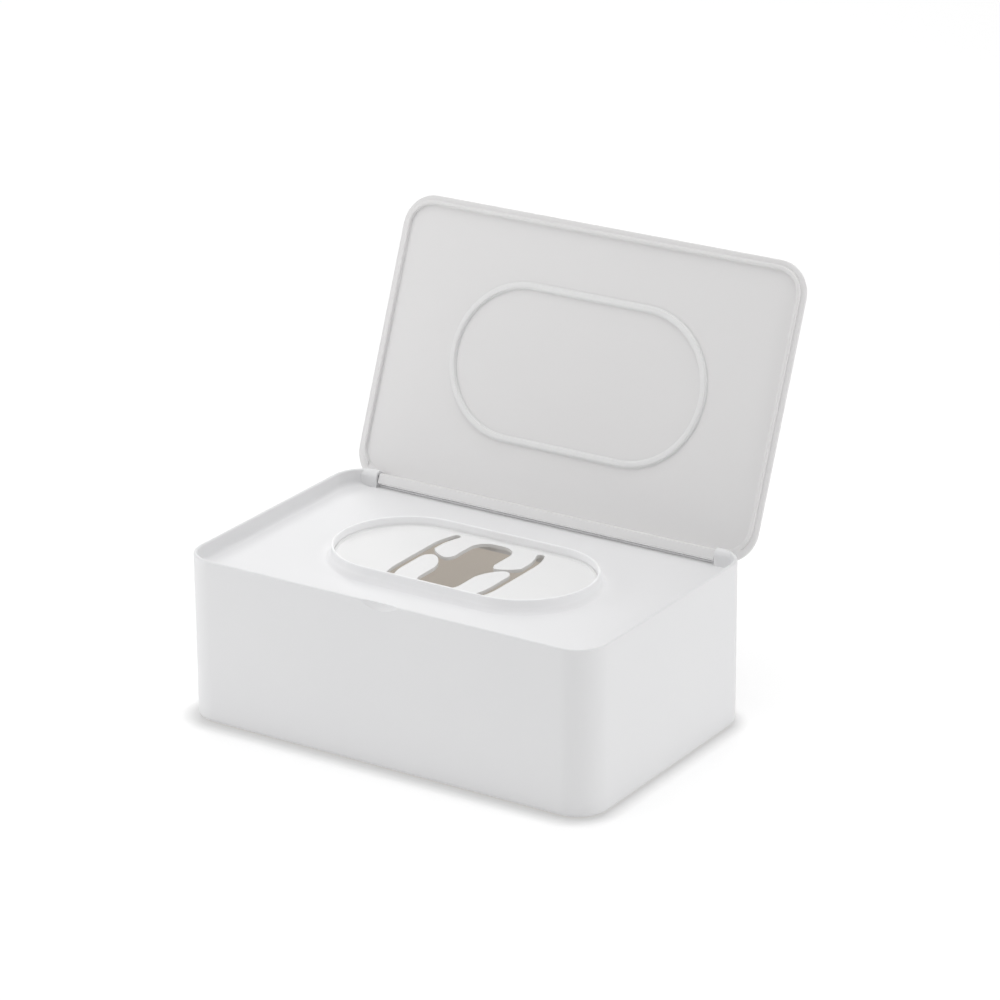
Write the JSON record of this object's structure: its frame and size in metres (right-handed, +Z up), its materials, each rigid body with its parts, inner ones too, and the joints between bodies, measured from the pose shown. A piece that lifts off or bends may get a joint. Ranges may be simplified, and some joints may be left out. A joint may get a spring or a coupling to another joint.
{
  "type": "wet wipes box",
  "caption": "Rectangular wet wipes box with a hinged lid standing open, an oval collar and flexible dispensing insert in its sunken top, and a push-in base cover.",
  "frame": {"origin": "centre of the flat underside, on the plane that the box rests on", "axes": "+Z up, +X to the right along the lid's hinge, -Y towards the front, where the thumb scoop is"},
  "size_m": [0.1906, 0.1674, 0.1764],
  "materials": {
    "shell_plastic": "satin white moulded plastic",
    "lid_plastic": "satin white moulded plastic",
    "insert_soft_plastic": "soft white elastomer, satin",
    "seal_silicone": "soft white silicone, satin",
    "cover_plastic": "satin white moulded plastic",
    "foot_rubber": "matt grey rubber",
    "pin_steel": "plain steel"
  },
  "bodies": {
    "base": {"base_cover": "cover_plastic", "foot_front_left": "foot_rubber", "foot_front_right": "foot_rubber", "foot_rear_left": "foot_rubber", "foot_rear_right": "foot_rubber"},
    "shell": {"body_shell": "shell_plastic", "dispensing_insert": "insert_soft_plastic"},
    "lid": {"lid": "lid_plastic", "lid_seal_ring": "seal_silicone", "hinge_pin_left": "pin_steel", "hinge_pin_right": "pin_steel"}
  },
  "joints": [
    {"name": "shell_lift", "type": "slide", "parent": "base", "child": "shell", "axis": [0, 0, 1], "range_m": [0, 0.06]},
    {"name": "lid_hinge", "type": "hinge", "parent": "shell", "child": "lid", "pos_m": [0, 0.05845, 0.06745], "axis": [1, 0, 0], "range_deg": [0, 111.8]}
  ]
}
